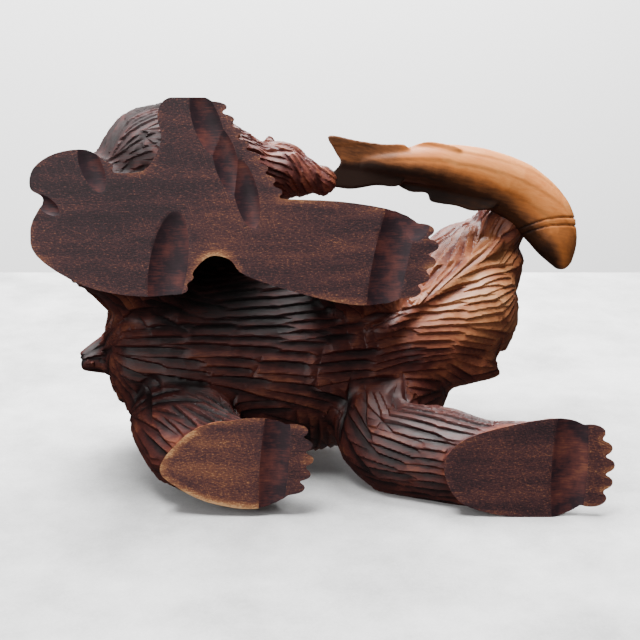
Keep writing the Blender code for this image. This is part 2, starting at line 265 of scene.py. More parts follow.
def fused(shell, name, voxel, rounds):
    """One skin round everything in the shell, with its creases eased."""
    obj = shown(name, shell.mesh(name))
    remesh = obj.modifiers.new("one skin", "REMESH")
    remesh.mode = "VOXEL"
    remesh.voxel_size = voxel * MM
    ease = obj.modifiers.new("ease creases", "SMOOTH")
    ease.factor = 0.5
    ease.iterations = rounds
    return baked(obj)


COARSE = 1.0
SOFT_VOXEL = 1.5 * COARSE
SOFT_ROUNDS = 13

block = Shell()
block.sweep(TORSO, (0, 0, 0.35))
block.sweep(RUFF, (0, 0, 0.3))
block.sweep(NECK, (0, 0, 0.3))
for leg in (REAR_LEFT_LEG, REAR_RIGHT_LEG, FRONT_LEFT_LEG, FRONT_RIGHT_LEG):
    block.sweep(leg)
block.sweep(SHOULDER_TUFT)
block.sweep(THROAT_RIDGE)
block.sweep(TAIL)

# The bear's head, of the same block. It turns to her right. Skull and cheeks run into the neck;
# muzzle, nose, jaw and ears are cut crisper, and the eyes are round bosses left standing.

HEAD = Vector((90, -40, 118))
HEAD_TURN = math.radians(-55)

# Each ball of a head: along the muzzle, across to its own left, up, and its three half sizes.
SKULL = [
    (1, 1, 0, 31, 33, 32),
    (8, 14, -7, 22, 16, 20),
    (10, -10, -8, 18, 14, 18),
    (14, 12, 14, 16, 10, 9),
    (14, -12, 14, 16, 10, 9),
    (30, 0, -1, 24, 18, 18),
    (45, 0, 0, 19, 15.5, 15),
]
MUZZLE = [
    (54, 0, 1, 12, 13.5, 12.5),
    (60, 0, 7, 6.5, 8.5, 6.5),
    (34, 0, -17, 18, 13, 8),
]
EARS = [(-10, 27, 27, 6, 11, 13), (-10, -27, 27, 6, 11, 13)]
EYES = [(28.5, 14, 14, 2.8, 2.8, 2.8), (28.5, -14, 14, 2.8, 2.8, 2.8)]


def on_head(middle, turn, along, across, up):
    """A point on a head: along its muzzle, across to its own left, and up."""
    ahead = Vector((math.cos(turn), math.sin(turn), 0))
    left = Vector((-math.sin(turn), math.cos(turn), 0))
    return middle + ahead * along + left * across + Vector((0, 0, up))


def add_head(shell, middle, turn, balls, fur):
    """Balls of a head, with hair that runs towards its muzzle."""
    hair = (math.cos(turn), math.sin(turn), 0.1)
    for along, across, up, a, b, c in balls:
        shell.ball(on_head(middle, turn, along, across, up), (a, b, c), turn, hair, fur)


add_head(block, HEAD, HEAD_TURN, SKULL, 1.0)
crisp = Shell()
add_head(crisp, HEAD, HEAD_TURN, MUZZLE, 0.4)
add_head(crisp, HEAD, HEAD_TURN, EARS, 0.6)
add_head(crisp, HEAD, HEAD_TURN, EYES, 0.0)

# The cub, of the same block, walks at the bear's right side and bites the salmon's tail. Its
# flank is left joined to her belly, and its feet are left joined to her right feet.

CUB_BODY = [
    (-115, -101, 42, 18, 25, 34),
    (-104, -109, 45, 22, 30, 38),
    (-86, -110, 48, 25, 31, 40),
    (-64, -107, 54, 22, 27, 36),
    (-48, -103, 61, 18, 21, 26),
]
CUB_REAR_LEG = [
    (-122, -96, 36, 18, 18, 26),
    (-132, -97, 18, 20, 14, 16),
    (-136, -98, 4, 22, 12, 10),
]
CUB_FRONT_LEG = [
    (-68, -112, 44, 18, 20, 26),
    (-68, -118, 22, 19, 18, 18),
    (-66, -118, 6, 22, 18, 12),
]
CUB_NECK = [
    (-50, -103, 64, 18, 20, 22),
    (-34, -101, 67, 18, 18, 18),
]
CUB_AGAINST_FLANK = [
    (-92, -70, 60, 18, 20, 24),
    (-66, -69, 66, 20, 22, 22),
    (-42, -72, 70, 16, 18, 17),
]
CUB_HEAD = Vector((-27, -102, 67))
CUB_HEAD_TURN = math.radians(6)
CUB_SKULL = [(0, 0, 0, 20, 18.5, 18), (13, 2, -2, 15, 13, 11)]
CUB_MUZZLE_AND_EARS = [
    (25, 3, 0, 11, 10, 8),
    (-8, 13, 13, 5, 7, 7),
    (-8, -13, 12, 5, 7, 7),
]

block.sweep(CUB_BODY, (0, 0, 0.6))
block.sweep(CUB_REAR_LEG)
block.sweep(CUB_FRONT_LEG)
block.sweep(CUB_NECK, (0, 0.8, 0.6))
block.sweep(CUB_AGAINST_FLANK, (0, 0, 0.4))
add_head(block, CUB_HEAD, CUB_HEAD_TURN, CUB_SKULL, 1.0)
add_head(crisp, CUB_HEAD, CUB_HEAD_TURN, CUB_MUZZLE_AND_EARS, 0.5)

# The feet and toes, of the same block, end in flat soles. Her two right feet and the cub's are
# left joined in one, and each foot's toes are a row of rounded bosses round its front edge.

REAR_LEFT_SOLE = [
    (-92, 63), (-86, 52), (-72, 42), (-45, 34), (-24, 36), (-17, 46), (-14, 60),
    (-19, 76), (-39, 85), (-66, 81), (-85, 71),
]  # fmt: skip
FRONT_LEFT_SOLE = [
    (66, 62), (73, 49), (91, 41), (125, 34), (143, 37), (151, 50), (152, 64),
    (146, 80), (127, 90), (100, 89), (75, 81),
]  # fmt: skip
JOINED_SOLE = [
    (-154, -87), (-161, -93), (-159, -104), (-147, -112), (-130, -114), (-120, -107),
    (-118, -102), (-101, -102), (-94, -108), (-89, -120), (-91, -133), (-85, -142),
    (-64, -142), (-56, -130), (-49, -116), (-41, -109), (-33, -94), (-28, -88), (8, -86),
    (38, -81), (51, -74), (54, -62), (50, -46), (40, -32), (19, -29), (-8, -34),
    (-43, -45), (-52, -54), (-63, -56), (-72, -48), (-80, -36), (-104, -34), (-133, -40),
    (-158, -56), (-161, -72),
]  # fmt: skip
# The soles reach below the ground, for the saw to cut. Their soft upper part is drawn in.
SINK = -9
SOLE_RISE = 10
SOLE_TAPER = 0.94
SOLE_EDGE = 4

# A row of toes: its start, middle and end on the ground, how many, and the half width of one.
TOES = [
    ((-18, 41), (-15, 57), (-20, 73), 5, 4.0),
    ((147, 42), (152.5, 60), (148, 79), 5, 4.9),
    ((51, -70), (53, -56), (44, -37), 5, 4.3),
    ((-79, -51), (-81, -44), (-84, -38), 3, 3.4),
    ((-62, -137), (-56, -127), (-50, -117), 4, 3.2),
    ((-44, -110), (-38, -101), (-32, -91), 4, 3.4),
    ((-136, -108), (-130, -108), (-124, -105), 3, 3.2),
]
TOE_REACH = 9
TOE_HEIGHT = 8


def node(tree, kind, inputs=None, stops=None, **settings):
    """Adds a node with its settings; each input is a value or the socket that feeds it."""
    made = tree.nodes.new(kind)
    for name, value in settings.items():
        setattr(made, name, value)
    for socket, value in (inputs or {}).items():
        if isinstance(value, bpy.types.NodeSocket):
            tree.links.new(value, made.inputs[socket])
        else:
            made.inputs[socket].default_value = value
    if stops:
        while len(made.color_ramp.elements) < len(stops):
            made.color_ramp.elements.new(0.5)
        for element, (place, colour) in zip(made.color_ramp.elements, stops):
            element.position = place
            element.color = colour
    return made


def toe_tree():
    """Toes set along a bent row, as rounded bosses that reach forward."""
    tree = bpy.data.node_groups.new("row of toes", "GeometryNodeTree")
    for name, kind in (
        ("Start", "NodeSocketVector"),
        ("Middle", "NodeSocketVector"),
        ("End", "NodeSocketVector"),
        ("Count", "NodeSocketInt"),
        ("Half Sizes", "NodeSocketVector"),
        ("Wood", "NodeSocketMaterial"),
    ):
        tree.interface.new_socket(name, in_out="INPUT", socket_type=kind)
    tree.interface.new_socket(
        "Toes", in_out="OUTPUT", socket_type="NodeSocketGeometry"
    )
    sizes = node(tree, "NodeGroupInput").outputs
    ends = node(
        tree,
        "ShaderNodeVectorMath",
        {0: sizes["Start"], 1: sizes["End"]},
        operation="ADD",
    )
    half_ends = node(
        tree,
        "ShaderNodeVectorMath",
        {0: ends.outputs[0], "Scale": 0.5},
        operation="SCALE",
    )
    twice = node(
        tree,
        "ShaderNodeVectorMath",
        {0: sizes["Middle"], "Scale": 2.0},
        operation="SCALE",
    )
    pull = node(
        tree,
        "ShaderNodeVectorMath",
        {0: twice.outputs[0], 1: half_ends.outputs[0]},
        operation="SUBTRACT",
    )
    row = node(
        tree,
        "GeometryNodeCurveQuadraticBezier",
        {"Start": sizes["Start"], "Middle": pull.outputs[0], "End": sizes["End"]},
    )
    places = node(
        tree,
        "GeometryNodeResampleCurve",
        {"Curve": row.outputs[0], "Count": sizes["Count"]},
    )
    toe = node(
        tree,
        "GeometryNodeMeshUVSphere",
        {"Segments": 20, "Rings": 12, "Radius": 1.0},
    )
    toes = node(
        tree,
        "GeometryNodeInstanceOnPoints",
        {
            "Points": places.outputs[0],
            "Instance": toe.outputs[0],
            "Scale": sizes["Half Sizes"],
        },
    )
    real = node(tree, "GeometryNodeRealizeInstances", {0: toes.outputs[0]})
    wood = node(
        tree,
        "GeometryNodeSetMaterial",
        {"Geometry": real.outputs[0], "Material": sizes["Wood"]},
    )
    node(tree, "NodeGroupOutput", {0: wood.outputs[0]})
    return tree


row_of_toes = toe_tree()
toe_inputs = {
    item.name: item.identifier
    for item in row_of_toes.interface.items_tree
    if item.in_out == "INPUT"
}
coat_wood = bpy.data.materials.new("stained_waxed_wood")

for start, middle, end, count, half in TOES:
    toes = shown("toes", bpy.data.meshes.new("toes"))
    rule = toes.modifiers.new("row of toes", "NODES")
    rule.node_group = row_of_toes
    rule[toe_inputs["Start"]] = (*start, 0.0)
    rule[toe_inputs["Middle"]] = (*middle, 0.0)
    rule[toe_inputs["End"]] = (*end, 0.0)
    rule[toe_inputs["Count"]] = count
    rule[toe_inputs["Half Sizes"]] = (float(TOE_REACH), float(half), float(TOE_HEIGHT))
    rule[toe_inputs["Wood"]] = coat_wood
    row = baked(toes)
    crisp.add(
        [v.co * MM for v in row.vertices], [list(p.vertices) for p in row.polygons]
    )
    crisp.note((*middle, 0), (TOE_REACH, 4 * half, TOE_HEIGHT), 0.0, (1, 0, 0), 0.3)

for sole in (REAR_LEFT_SOLE, FRONT_LEFT_SOLE, JOINED_SOLE):
    block.slab(sole, SINK, SOLE_RISE, SOLE_TAPER)
    crisp.slab(sole, SINK, SOLE_EDGE)

# The coat: long gouge strokes laid side by side, each a broad flat facet with a steep wall on
# one side. They follow the body, fan out from a ridge on the throat and hang on the flank. The
# wood is stained dark brown and waxed.

FIRM_VOXEL = 0.85 * COARSE
FIRM_ROUNDS = 3
STROKE_SPACING = 4.3
STROKE_LENGTH = 29.0
STROKE_DEPTH = 2.1
# A stroke's steep wall is on the side that faces most nearly this way.
STEEP_SIDE = np.array((0.3, -1.0, 0.2))
# Strokes lose their depth below this height, so that a sole's edge stays clean.
FUR_FADE = 10.0
# Points are matched to the masses in batches of this many at most, to save memory.
BATCH = 20000

# Where the fur parts from the run of the limb: a place, how far it holds, and the way it lies.
FUR_TURNS = [
    ((62, -8, 56), 26, (1, 0, 0.2)),
    ((88, -22, 66), 22, (1, -0.1, 0.3)),
    ((104, -36, 78), 20, (1, -0.3, 0.4)),
    ((92, 4, 64), 22, (1, 0.3, 0.4)),
    ((74, 24, 62), 20, (1, 0.9, 0.3)),
    ((48, -46, 62), 26, (0.15, -1, 0)),
    ((62, -56, 76), 28, (0.15, -1, 0)),
    ((80, -64, 86), 25, (0.15, -1, 0)),
    ((-8, 52, 56), 24, (0, 1, 0.4)),
    ((-4, 62, 80), 24, (0.2, 0.4, 1)),
    ((-112, -116, 45), 26, (0.5, 0.8, 0)),
    ((-20, -104, 70), 24, (0.2, 1, 0.2)),
    ((-96, 34, 50), 30, (1, 0.1, 0.2)),
    ((-84, 60, 50), 26, (1, 0.1, 0.2)),
    ((-70, 44, 36), 24, (1, 0.1, 0.1)),
]

for place, reach, hair in FUR_TURNS:
    crisp.note(place, (reach, reach, reach), 0.0, hair, 1.0)

body = fused(block, "soft masses", SOFT_VOXEL, SOFT_ROUNDS)
crisp.add([v.co[:] for v in body.vertices], [list(p.vertices) for p in body.polygons])
form = fused(crisp, "whole form", FIRM_VOXEL, FIRM_ROUNDS)
lie = np.array(block.lie + crisp.lie)


def corners_of(mesh, what="co"):
    """The corners' places or normals as rows."""
    rows = np.empty(len(mesh.vertices) * 3)
    mesh.vertices.foreach_get(what, rows)
    return rows.reshape(-1, 3)


def tree_of(points):
    """A search tree over points."""
    tree = KDTree(len(points))
    for k, p in enumerate(points):
        tree.insert(p, k)
    tree.balance()
    return tree


def lie_of_fur(points, lie):
    """From the masses near each point: the way its hair lies, how much, and how far along."""
    if len(points) > BATCH:
        parts = [lie_of_fur(half, lie) for half in np.array_split(points, 2)]
        return tuple(np.concatenate(column) for column in zip(*parts))
    nearness = np.empty((len(lie), len(points)))
    for k, row in enumerate(lie):
        x, y, z = (points / MM - row[:3]).T
        cos, sin = math.cos(row[6]), math.sin(row[6])
        away = np.array([x * cos + y * sin, y * cos - x * sin, z]) / row[3:6, None]
        nearness[k] = np.sqrt((away**2).sum(axis=0))
    weight = np.exp(-9.0 * (nearness - nearness.min(axis=0)))
    nearest = lie[nearness.argmin(axis=0)]
    side = np.where(lie[:, 7:10] @ nearest[:, 7:10].T < 0, -1.0, 1.0)
    hair = np.einsum("kn,kd->nd", weight * side, lie[:, 7:10])
    fur = (weight * lie[:, 10, None]).sum(axis=0) / weight.sum(axis=0)
    run = nearest[:, 7:10] / np.linalg.norm(nearest[:, 7:10], axis=1, keepdims=True)
    way = nearest[:, 11] + ((points / MM - nearest[:, :3]) * run).sum(axis=1)
    return hair / np.linalg.norm(hair, axis=1, keepdims=True), fur, way


def gouged(mesh, lie, spacing, length, depth, size_at, seed):
    """Sinks the mesh by strokes laid side by side in courses; the deepest stroke wins.

    A stroke starts in a point, widens and deepens, and stops in a step. Returns the corners'
    places before, how deep each lies in its stroke, and a number for each stroke.
    """
    points = corners_of(mesh)
    normals = corners_of(mesh, "normal")
    hair, fur, way = lie_of_fur(points, lie)
    tree = tree_of(points)
    rng = random.Random(seed)
    sink = np.full(len(points), -0.2)
    shade = np.full(len(points), 0.5)
    taken = fur < 0.25
    # The courses wander a little, and a second round fills the gaps that the first one leaves.
    drift = 7.0 * np.sin(points[:, 1] / MM / 8) + 5.0 * np.sin(points[:, 2] / MM / 6)
    phase = np.abs(((way + drift) / length) % 1.0 - 0.5)
    sideways = points @ np.array((0.25, 1.0, 0.45))
    for band, slack in ((0.12, 0.9), (0.6, 0.7)):
        order = np.nonzero((phase < band) & ~taken)[0]
        for start in order[np.argsort(sideways[order])]:
            if taken[start]:
                continue
            run = hair[start] - normals[start] * hair[start].dot(normals[start])
            strength = np.linalg.norm(run)
            if strength < 0.1:
                taken[start] = True
                continue
            run = run / strength
            size = size_at(points[start]) * rng.uniform(0.88, 1.12)
            reach = length * size * rng.uniform(0.85, 1.35) * MM
            half = spacing * size * MM
            near = np.array([hit[1] for hit in tree.find_range(points[start], reach)])
            near = near[normals[near] @ normals[start] > 0.1]
            across = np.cross(normals[start], run)
            if across @ STEEP_SIDE < 0:
                across = -across
            away = points[near] - points[start]
            lengthwise = (away @ run) / (0.56 * reach)
            sidewise = (away @ across) / half
            near_ring = (lengthwise * slack * 1.05) ** 2 + sidewise**2 < 1
            taken[near[near_ring]] = True
            taken[start] = True
            tip = np.clip((lengthwise + 1.2) / 1.5, 0.0, 1.0)
            stop = np.clip((1.2 - lengthwise) / 0.3, 0.0, 1.0)
            bent = sidewise / (0.88 * (0.3 + 0.7 * tip) * (0.5 + 0.5 * stop))
            bent += 0.1 * lengthwise
            wall = np.where(bent < 0.6, (0.6 - bent) / 1.6, (bent - 0.6) / 0.35)
            deep = size * (1.1 - wall) * (0.3 + 0.7 * tip) * stop**0.5 - 0.05
            deep -= 2.0 * np.clip((np.abs(lengthwise) - 1.15) / 0.2, 0, 1)
            stronger = deep > sink[near]
            sink[near[stronger]] = deep[stronger]
            shade[near[stronger]] = rng.random()
    fur_here = np.clip(2.5 * fur - 0.5, 0, 1)
    sink *= fur_here * np.clip(points[:, 2] / MM / FUR_FADE, 0, 1)
    points -= normals * (sink * depth * MM)[:, None]
    mesh.vertices.foreach_set("co", points.ravel())
    return points, sink, shade


def stroke_size(place):
    """Strokes are finer on the cub and the head, and bolder on the forearm and the belly."""
    x, y, z = place / MM
    on_cub = y < -76 and x < 10
    on_head_and_throat = x > 84 and z > 92
    on_forearm = y > 34 and x > 20 and z < 60
    on_belly = x < 26 and abs(y - 8) < 46 and z < 84
    if on_cub:
        return 0.75
    if on_head_and_throat:
        return 0.8
    if on_forearm:
        return 1.15
    if on_belly:
        return 1.3
    return 1.0


points, sink, stroke_shade = gouged(
    form, lie, STROKE_SPACING, STROKE_LENGTH, STROKE_DEPTH, stroke_size, 7
)
dense_tree = tree_of(points)


def ink(hex_code, alpha=1.0):
    """An sRGB hex colour as linear numbers."""
    channels = [int(hex_code[i : i + 2], 16) / 255 for i in (1, 3, 5)]
    linear = [c / 12.92 if c < 0.04045 else ((c + 0.055) / 1.055) ** 2.4 for c in channels]
    return (*linear, alpha)


def fresh_tree(material):
    """The material's empty node tree, with its output and a Principled shader linked to it."""
    material.use_nodes = True
    tree = material.node_tree
    tree.nodes.clear()
    shader = node(tree, "ShaderNodeBsdfPrincipled")
    node(tree, "ShaderNodeOutputMaterial", {"Surface": shader.outputs[0]})
    return tree, shader


def feed(tree, shader, **sockets):
    """Links or sets the shader's own sockets; an underscore stands for a space.

    The export drops a linked specular level, so that one is always a plain number.
    """
    for name, value in sockets.items():
        socket = shader.inputs[name.replace("_", " ")]
        if isinstance(value, bpy.types.NodeSocket):
            tree.links.new(value, socket)
        else:
            socket.default_value = value


def weighed(tree, start, *terms):
    """start plus each socket, less its usual value, times its weight."""
    total = start - sum(weight * usual for socket, weight, usual in terms)
    for socket, weight, usual in terms:
        total = node(
            tree,
            "ShaderNodeMath",
            {0: socket, 1: weight, 2: total},
            operation="MULTIPLY_ADD",
        ).outputs[0]
    return total


# Stained and waxed wood. It is darker deeper in the cuts and lighter on the ridges, partly as
# pooled and rubbed-thin stain and partly as painted shade, and the wax gives each facet a soft
# sheen. Its grain is drawn coarser than real, so that it shows.
tree, shader = fresh_tree(coat_wood)
where = node(tree, "ShaderNodeTexCoord").outputs["Object"]
along_grain = node(
    tree,
    "ShaderNodeMapping",
    {"Vector": where, "Scale": (1 / (8 * MM), 1 / (0.9 * MM), 1 / (0.9 * MM))},
)
grain = node(
    tree,
    "ShaderNodeTexNoise",
    {"Vector": along_grain.outputs[0], "Scale": 1.0, "Detail": 4.0, "Roughness": 0.65},
)
mottle = node(
    tree,
    "ShaderNodeTexNoise",
    {"Vector": where, "Scale": 1 / (20 * MM), "Detail": 4.0, "Roughness": 0.6},
)
deep_in = node(tree, "ShaderNodeAttribute", attribute_name="depth").outputs["Fac"]
stroke = node(tree, "ShaderNodeAttribute", attribute_name="stroke").outputs["Fac"]
worn = node(tree, "ShaderNodeAttribute", attribute_name="worn").outputs["Fac"]
# Darker stain in places, and painted shade in the hollows between bear, cub and legs.
dark_stain_and_shade = node(tree, "ShaderNodeAttribute", attribute_name="dark_stain_and_shade").outputs["Fac"]

# The very bottom of a stroke, darkened as a painted shade line in the crease.
crease_shade = node(
    tree,
    "ShaderNodeMapRange",
    {"Value": deep_in, "From Min": 0.80, "From Max": 1.10},
)
tone = weighed(
    tree,
    0.48,
    (mottle.outputs[0], 0.50, 0.5),
    (grain.outputs[0], 0.42, 0.5),
    (stroke, 0.16, 0.5),
    # darker deeper in the stroke: partly pooled stain, partly painted shade
    (deep_in, -0.16, 0.3),
    (crease_shade.outputs[0], -0.13, 0.1),
    (worn, 0.40, 0.0),
    (dark_stain_and_shade, -0.32, 0.0),
)
colour = node(
    tree,
    "ShaderNodeValToRGB",
    {"Fac": tone},
    stops=[
        (0.0, ink("#0a0505")),
        (0.20, ink("#240f10")),
        (0.42, ink("#4c211c")),
        (0.62, ink("#7a432d")),
        (0.82, ink("#9c643f")),
        (1.0, ink("#b9875e")),
    ],
)
sheen_break = node(
    tree,
    "ShaderNodeMapRange",
    {
        "Value": grain.outputs[0],
        "From Min": 0.3,
        "From Max": 0.7,
        "To Min": 0.35,
        "To Max": 0.53,
    },
)
fine = node(
    tree,
    "ShaderNodeBump",
    {"Height": grain.outputs[0], "Strength": 0.4, "Distance": 0.25 * MM},
)
feed(
    tree,
    shader,
    Base_Color=colour.outputs[0],
    Roughness=weighed(tree, 0.0, (sheen_break.outputs[0], 1.0, 0.0), (dark_stain_and_shade, 0.35, 0.0)),
    Specular_IOR_Level=0.38,
    Normal=fine.outputs[0],
)

# The undersides of the feet. The soles are sawn flat in one cut, then the arches and the hollows
# behind the toes are scooped out with a wide gouge, and both take the stain in their own way.

# A scoop: its middle, its turn, half width, half length and depth where it is deepest.
SOLE_SCOOPS = [
    (-28, 58, 0.08, 8.0, 50, 1.8),
    (136, 62, 0.05, 10.0, 49, 1.9),
    (36, -54, 0.20, 9.5, 49, 2.0),
    (45, -78, -0.55, 11.0, 15, 2.4),
    (-86, -50, 0.16, 10.5, 31, 2.2),
    (-64, -128, -0.34, 7.5, 19, 2.0),
    (-54, -108, -0.26, 6.5, 19, 2.0),
    (-43, -90, -0.22, 6.5, 19, 2.0),
    (-127, -104, -0.40, 6.0, 14, 1.6),
    (-152, -84, -0.90, 4.0, 8, 1.4),
]
GOUGE_BALL = unit_ball(96, 48)
SAW_WIDE, SAW_DEEP, SAW_LOW = 348.0, 312.0, -40.0
SAW_CELL = 3.0
FACETS = 180000

sole_wood = bpy.data.materials.new("sawn_stained_wood")
scoop_wood = bpy.data.materials.new("gouged_stained_wood")


def saw_cut():
    """A slab below the soles whose upper face is a grid, so that the sole has corners inside."""
    columns, rows = int(SAW_WIDE / SAW_CELL), int(SAW_DEEP / SAW_CELL)
    xs = [SAW_WIDE * (i / columns - 0.5) * MM for i in range(columns + 1)]
    ys = [SAW_DEEP * (j / rows - 0.5) * MM for j in range(rows + 1)]
    bm = bmesh.new()
    grid = [[bm.verts.new((x, y, 0)) for y in ys] for x in xs]
    for i in range(columns):
        for j in range(rows):
            bm.faces.new(
                (grid[i][j], grid[i + 1][j], grid[i + 1][j + 1], grid[i][j + 1])
            )
    under = bmesh.ops.extrude_edge_only(
        bm, edges=[edge for edge in bm.edges if edge.is_boundary]
    )["geom"]
    rim = [v for v in under if isinstance(v, bmesh.types.BMVert)]
    for corner in rim:
        corner.co.z = SAW_LOW * MM
    bmesh.ops.holes_fill(bm, edges=[e for e in bm.edges if e.is_boundary], sides=0)
    bmesh.ops.recalc_face_normals(bm, faces=bm.faces)
    mesh = bpy.data.meshes.new("saw cut")
    bm.to_mesh(mesh)
    bm.free()
    return mesh


cutters = bpy.data.collections.new("cutters")
bpy.context.scene.collection.children.link(cutters)
tools = [(saw_cut(), sole_wood)]
for k, (x, y, turn, half_width, half_length, depth) in enumerate(SOLE_SCOOPS):
    scoop = Shell()
    radius = (half_width**2 + depth**2) / (2 * depth)
    reach = half_length * radius / half_width
    scoop.ball((x, y, depth - radius), (radius, reach, radius), turn, shape=GOUGE_BALL)
    tools.append((scoop.mesh(f"scoop {k}"), scoop_wood))
for mesh, wood in tools:
    mesh.materials.append(wood)
    cutters.objects.link(bpy.data.objects.new(mesh.name, mesh))

form.materials.clear()
form.materials.append(coat_wood)
group = shown("carved_bear", form)
triangles = sum(len(face.vertices) - 2 for face in form.polygons)
facets = group.modifiers.new("facets", "DECIMATE")
facets.ratio = min(1.0, FACETS / triangles)
facets.use_collapse_triangulate = True
cut = group.modifiers.new("soles", "BOOLEAN")
cut.operation = "DIFFERENCE"
cut.solver = "EXACT"
cut.operand_type = "COLLECTION"
cut.collection = cutters
cut.material_mode = "TRANSFER"
carved = baked(group)
for cutter in list(cutters.objects):
    bpy.data.objects.remove(cutter)
bpy.data.collections.remove(cutters)

# Each corner keeps what the wood there is like: how deep in a stroke, which stroke, how far the
# stain is rubbed thin, how dark it is from darker stain and from painted shade in the hollows,
# and how near a sole's rim it is.
ON_GROUND = 4 * MM
NEAR_GROUND = 6 * MM
FAR_FROM_RIM = 20.0
# A patch: its middle, how far it reaches, and how strong it is.
WORN_PATCHES = [
    ((100, -18, 72), 34, 0.85),
    ((104, -50, 90), 26, 0.6),
    ((62, -30, 62), 22, 0.4),
    ((100, 70, 26), 24, 0.2),
]
WORN_SOLE_PATCHES = [
    ((-64, 62, 0), 34, 0.9),
    ((100, 62, 0), 26, 0.25),
    ((142, 62, 0), 16, 0.7),
    ((-20, -70, 0), 60, 0.2),
    ((-60, -60, 0), 16, 0.5),
]
# Darker patches: partly darker stain, as on the cub, and partly painted shade in the hollows
# between the bear, the cub and the legs.
DARK_STAIN_AND_SHADE_PATCHES = [
    ((-98, -116, 45), 50, 1.3),
    ((-80, 62, 36), 34, 0.35),
    ((-54, 42, 24), 24, 0.4),
    ((-66, -48, 48), 32, 1.3),
    ((-24, -30, 46), 30, 0.6),
    ((-112, 8, 64), 46, 0.15),
    ((-140, 10, 78), 18, 0.5),
    ((10, -50, 50), 34, 0.5),
    ((30, 62, 44), 40, 0.3),
    ((84, 66, 30), 30, 0.5),
    ((-140, -90, 0), 40, 0.4),
]


def patches(points, spots):
    """How strong the patches are at each point, from 0 to 1."""
    total = np.zeros(len(points))
    for middle, reach, strength in spots:
        away = np.linalg.norm(points / MM - np.array(middle), axis=1) / reach
        total += strength * np.exp(-(away**2))
    return np.clip(total, 0, 1)


def keep(mesh, name, values):
    """Stores one number for each corner of a mesh."""
    store = mesh.attributes.new(name, "FLOAT", "POINT")
    store.data.foreach_set("value", np.asarray(values, np.float32))


places = corners_of(carved)
source = np.array([dense_tree.find(p)[1] for p in places])
keep(carved, "depth", np.clip(sink[source], -0.25, 1.2))
keep(carved, "stroke", stroke_shade[source])
on_ground = places[:, 2] < ON_GROUND
worn_coat = patches(places, WORN_PATCHES)
keep(carved, "worn", np.where(on_ground, patches(places, WORN_SOLE_PATCHES), worn_coat))
keep(carved, "dark_stain_and_shade", patches(places, DARK_STAIN_AND_SHADE_PATCHES))

slots = [m.name for m in carved.materials]
sole_slot = slots.index(sole_wood.name)
coat_slot = slots.index(coat_wood.name)
on_sole = np.zeros(len(places), bool)
off_sole = np.zeros(len(places), bool)
for face in carved.polygons:
    corner_list = list(face.vertices)
    if face.material_index == sole_slot:
        on_sole[corner_list] = True
    elif face.material_index == coat_slot:
        off_sole[corner_list] = True
rim_tree = tree_of(places[on_sole & off_sole])
rim = np.full(len(places), FAR_FROM_RIM)
for k in np.nonzero(places[:, 2] < NEAR_GROUND)[0]:
    rim[k] = rim_tree.find(places[k])[2] / MM
keep(carved, "rim", rim)

# One move seats the group over the middle of the CAD box.
box_low, box_high = places.min(axis=0), places.max(axis=0)
cad_middle = (cad_low + cad_high) / 2
to_frame = Vector(
    (
        cad_middle.x - (box_low[0] + box_high[0]) / 2,
        cad_middle.y - (box_low[1] + box_high[1]) / 2,
        0,
    )
)


def seat(mesh):
    """Moves a mesh into the CAD frame and keeps it inside the CAD box."""
    mesh.transform(Matrix.Translation(to_frame))
    seated = np.clip(corners_of(mesh), np.array(cad_low), np.array(cad_high))
    mesh.vertices.foreach_set("co", seated.ravel())
    mesh.update()


seat(carved)
carved.shade_smooth()
SHARP_FROM = math.radians(24)
carved.set_sharp_from_angle(angle=SHARP_FROM)

bear = shown("carved_bear", carved)
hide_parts("carved_bear_group")
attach(bear, "root")

# Sawn and stained wood. The saw leaves the pores open, so the stain went dark, with short
# fibres, scratches and flecks of bare wood; some rims are rubbed tan. Fibres, flecks and
# scratches are drawn coarser than real, so that they show.
tree, shader = fresh_tree(sole_wood)
where = node(tree, "ShaderNodeTexCoord").outputs["Object"]
along_grain = node(
    tree,
    "ShaderNodeMapping",
    {
        "Vector": where,
        "Rotation": (0, 0, math.radians(2)),
        "Scale": (1 / (3.2 * MM), 1 / (0.8 * MM), 1 / (4 * MM)),
    },
)
fibres = node(
    tree,
    "ShaderNodeTexNoise",
    {"Vector": along_grain.outputs[0], "Scale": 1.0, "Detail": 6.0, "Roughness": 0.75},
)
rings_way = node(
    tree,
    "ShaderNodeMapping",
    {
        "Vector": where,
        "Rotation": (0, 0, math.radians(3)),
        "Scale": (1 / (60 * MM), 1 / (9 * MM), 1 / (20 * MM)),
    },
)
rings = node(
    tree,
    "ShaderNodeTexNoise",
    {"Vector": rings_way.outputs[0], "Scale": 1.0, "Detail": 4.0, "Roughness": 0.6},
)
flecks_way = node(
    tree,
    "ShaderNodeMapping",
    {"Vector": where, "Scale": (1 / (1.5 * MM), 1 / (0.8 * MM), 1 / (2 * MM))},
)
flecks = node(
    tree,
    "ShaderNodeTexNoise",
    {"Vector": flecks_way.outputs[0], "Scale": 1.0, "Detail": 3.0, "Roughness": 0.6},
)
fleck_spots = node(
    tree,
    "ShaderNodeMapRange",
    {"Value": flecks.outputs[0], "From Min": 0.58, "From Max": 0.68},
)
